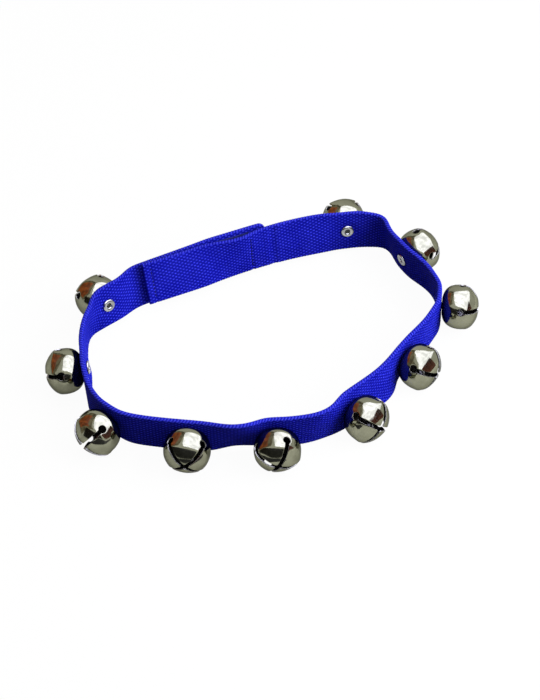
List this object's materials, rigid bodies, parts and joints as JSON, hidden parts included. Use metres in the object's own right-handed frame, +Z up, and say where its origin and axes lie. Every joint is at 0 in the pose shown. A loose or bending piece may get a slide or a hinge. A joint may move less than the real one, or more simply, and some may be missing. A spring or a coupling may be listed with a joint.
{
  "type": "bell belt",
  "caption": "Webbing belt stood on edge as a closed loop, with round slit jingle bells riveted to its outside and a hook-and-loop closure.",
  "frame": {"origin": "middle of the standing belt's box, on the surface that it stands on", "axes": "+X along the loop's long side to the right, +Y from the long front run to the closure at the back, +Z up the webbing's width"},
  "size_m": [0.2364, 0.1944, 0.0278],
  "materials": {
    "webbing": "plain woven webbing",
    "tape": "hook-and-loop tape",
    "nickel": "polished nickel plate",
    "steel": "plain tumbled steel"
  },
  "bodies": {
    "strap": {"strap_webbing": "webbing", "loop_tape": "tape", "bell_01_rivet": "nickel", "bell_02_rivet": "nickel", "bell_03_rivet": "nickel", "bell_04_rivet": "nickel", "bell_05_rivet": "nickel", "bell_06_rivet": "nickel", "bell_07_rivet": "nickel", "bell_08_rivet": "nickel", "bell_09_rivet": "nickel", "bell_10_rivet": "nickel"},
    "tail": {"strap_tail": "webbing", "hook_tape": "tape"},
    "bell_01": {"bell_01_shell": "nickel"},
    "bell_02": {"bell_02_shell": "nickel"},
    "bell_03": {"bell_03_shell": "nickel"},
    "bell_04": {"bell_04_shell": "nickel"},
    "bell_05": {"bell_05_shell": "nickel"},
    "bell_06": {"bell_06_shell": "nickel"},
    "bell_07": {"bell_07_shell": "nickel"},
    "bell_08": {"bell_08_shell": "nickel"},
    "bell_09": {"bell_09_shell": "nickel"},
    "bell_10": {"bell_10_shell": "nickel"},
    "bell_01_ball": {"bell_01_pellet": "steel"},
    "bell_02_ball": {"bell_02_pellet": "steel"},
    "bell_03_ball": {"bell_03_pellet": "steel"},
    "bell_04_ball": {"bell_04_pellet": "steel"},
    "bell_05_ball": {"bell_05_pellet": "steel"},
    "bell_06_ball": {"bell_06_pellet": "steel"},
    "bell_07_ball": {"bell_07_pellet": "steel"},
    "bell_08_ball": {"bell_08_pellet": "steel"},
    "bell_09_ball": {"bell_09_pellet": "steel"},
    "bell_10_ball": {"bell_10_pellet": "steel"}
  },
  "joints": [
    {"name": "tail_peel", "type": "hinge", "parent": "strap", "child": "tail", "pos_m": [-0.07157, 0.03312, 0.01284], "axis": [-0.1539, 0.3415, 0.9272], "range_deg": [0, 90]},
    {"name": "bell_01_swivel", "type": "hinge", "parent": "strap", "child": "bell_01", "pos_m": [0.04534, 0.08586, 0.01208], "axis": [-0.1566, 0.9737, -0.1652], "continuous": true},
    {"name": "bell_01_pellet_roll", "type": "hinge", "parent": "bell_01", "child": "bell_01_ball", "pos_m": [0.04534, 0.08586, 0.01208], "axis": [-0.1566, 0.9737, -0.1652], "continuous": true},
    {"name": "bell_02_swivel", "type": "hinge", "parent": "strap", "child": "bell_02", "pos_m": [0.08777, 0.06123, 0.01189], "axis": [0.8395, 0.5279, 0.1285], "continuous": true},
    {"name": "bell_02_pellet_roll", "type": "hinge", "parent": "bell_02", "child": "bell_02_ball", "pos_m": [0.08777, 0.06123, 0.01189], "axis": [0.8395, 0.5279, 0.1285], "continuous": true},
    {"name": "bell_03_swivel", "type": "hinge", "parent": "strap", "child": "bell_03", "pos_m": [0.10725, 0.01524, 0.01396], "axis": [0.9929, -0.1134, 0.0352], "continuous": true},
    {"name": "bell_03_pellet_roll", "type": "hinge", "parent": "bell_03", "child": "bell_03_ball", "pos_m": [0.10725, 0.01524, 0.01396], "axis": [0.9929, -0.1134, 0.0352], "continuous": true},
    {"name": "bell_04_swivel", "type": "hinge", "parent": "strap", "child": "bell_04", "pos_m": [0.08334, -0.02686, 0.01208], "axis": [0.8113, -0.5846, 0.0004], "continuous": true},
    {"name": "bell_04_pellet_roll", "type": "hinge", "parent": "bell_04", "child": "bell_04_ball", "pos_m": [0.08334, -0.02686, 0.01208], "axis": [0.8113, -0.5846, 0.0004], "continuous": true},
    {"name": "bell_05_swivel", "type": "hinge", "parent": "strap", "child": "bell_05", "pos_m": [0.05334, -0.06295, 0.01183], "axis": [0.6502, -0.7499, 0.1221], "continuous": true},
    {"name": "bell_05_pellet_roll", "type": "hinge", "parent": "bell_05", "child": "bell_05_ball", "pos_m": [0.05334, -0.06295, 0.01183], "axis": [0.6502, -0.7499, 0.1221], "continuous": true},
    {"name": "bell_06_swivel", "type": "hinge", "parent": "strap", "child": "bell_06", "pos_m": [0.00645, -0.08386, 0.01208], "axis": [0.044, -0.9903, -0.1317], "continuous": true},
    {"name": "bell_06_pellet_roll", "type": "hinge", "parent": "bell_06", "child": "bell_06_ball", "pos_m": [0.00645, -0.08386, 0.01208], "axis": [0.044, -0.9903, -0.1317], "continuous": true},
    {"name": "bell_07_swivel", "type": "hinge", "parent": "strap", "child": "bell_07", "pos_m": [-0.04018, -0.08619, 0.01457], "axis": [-0.1068, -0.9918, -0.0698], "continuous": true},
    {"name": "bell_07_pellet_roll", "type": "hinge", "parent": "bell_07", "child": "bell_07_ball", "pos_m": [-0.04018, -0.08619, 0.01457], "axis": [-0.1068, -0.9918, -0.0698], "continuous": true},
    {"name": "bell_08_swivel", "type": "hinge", "parent": "strap", "child": "bell_08", "pos_m": [-0.08732, -0.07308, 0.01307], "axis": [-0.6211, -0.7748, -0.1181], "continuous": true},
    {"name": "bell_08_pellet_roll", "type": "hinge", "parent": "bell_08", "child": "bell_08_ball", "pos_m": [-0.08732, -0.07308, 0.01307], "axis": [-0.6211, -0.7748, -0.1181], "continuous": true},
    {"name": "bell_09_swivel", "type": "hinge", "parent": "strap", "child": "bell_09", "pos_m": [-0.10713, -0.03011, 0.01208], "axis": [-0.9885, -0.0936, -0.1187], "continuous": true},
    {"name": "bell_09_pellet_roll", "type": "hinge", "parent": "bell_09", "child": "bell_09_ball", "pos_m": [-0.10713, -0.03011, 0.01208], "axis": [-0.9885, -0.0936, -0.1187], "continuous": true},
    {"name": "bell_10_swivel", "type": "hinge", "parent": "strap", "child": "bell_10", "pos_m": [-0.09352, 0.02406, 0.01208], "axis": [-0.5841, 0.7693, -0.2588], "continuous": true},
    {"name": "bell_10_pellet_roll", "type": "hinge", "parent": "bell_10", "child": "bell_10_ball", "pos_m": [-0.09352, 0.02406, 0.01208], "axis": [-0.5841, 0.7693, -0.2588], "continuous": true}
  ]
}
